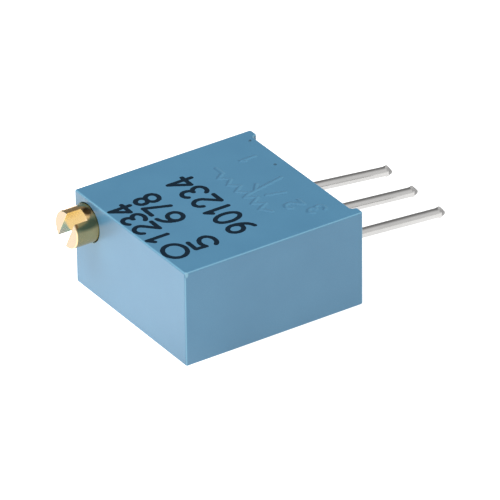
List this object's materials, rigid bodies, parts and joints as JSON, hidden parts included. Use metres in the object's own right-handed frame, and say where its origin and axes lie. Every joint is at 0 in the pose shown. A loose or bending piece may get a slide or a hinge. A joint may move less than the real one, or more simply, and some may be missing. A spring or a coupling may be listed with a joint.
{
  "type": "trimmer potentiometer",
  "caption": "Square sealed multi-turn trimmer with a slotted brass screw on one end, a worm drive inside and in-line wire terminals opposite.",
  "frame": {"origin": "middle of the back face, on which the part lies", "axes": "+X from the screw end to the terminals, +Y across the body towards the screw's side, +Z out of the marked face"},
  "size_m": [0.0177, 0.0094, 0.005],
  "materials": {
    "housing_plastic": "fine satin moulded thermoplastic, blue",
    "brass": "turned, bright",
    "silicone": "smooth, black",
    "nylon": "moulded, natural",
    "contact_alloy": "bright spring strip",
    "alumina": "fired ceramic, white",
    "cermet": "fired resistive ink, black",
    "conductor": "fired silver-palladium ink",
    "tinned_wire": "hot-tinned, bright",
    "solder": "reflowed, bright",
    "epoxy": "cast, slightly wavy, blue"
  },
  "bodies": {
    "case": {"housing": "housing_plastic", "substrate": "alumina", "resistive_track": "cermet", "collector_track": "conductor", "end_pad_1": "conductor", "end_pad_3": "conductor", "terminal_1": "tinned_wire", "terminal_2": "tinned_wire", "terminal_3": "tinned_wire", "solder_1": "solder", "solder_2": "solder", "solder_3": "solder", "potting": "epoxy"},
    "screw": {"adjust_screw": "brass", "o_ring": "silicone"},
    "rotor": {"rotor": "nylon", "wiper": "contact_alloy"}
  },
  "joints": [
    {"name": "screw_turn", "type": "hinge", "parent": "case", "child": "screw", "pos_m": [-0.00622, 0.00361, 0.00377], "axis": [1, 0, 0], "range_deg": [-4500, 4500]},
    {"name": "rotor_turn", "type": "hinge", "parent": "case", "child": "rotor", "pos_m": [-0.0005, 0, 0.00377], "axis": [0, 0, 1], "range_deg": [-150, 150]}
  ],
  "couplings": [
    {"joint": "rotor_turn", "follows": "screw_turn", "ratio": 0.033333}
  ]
}
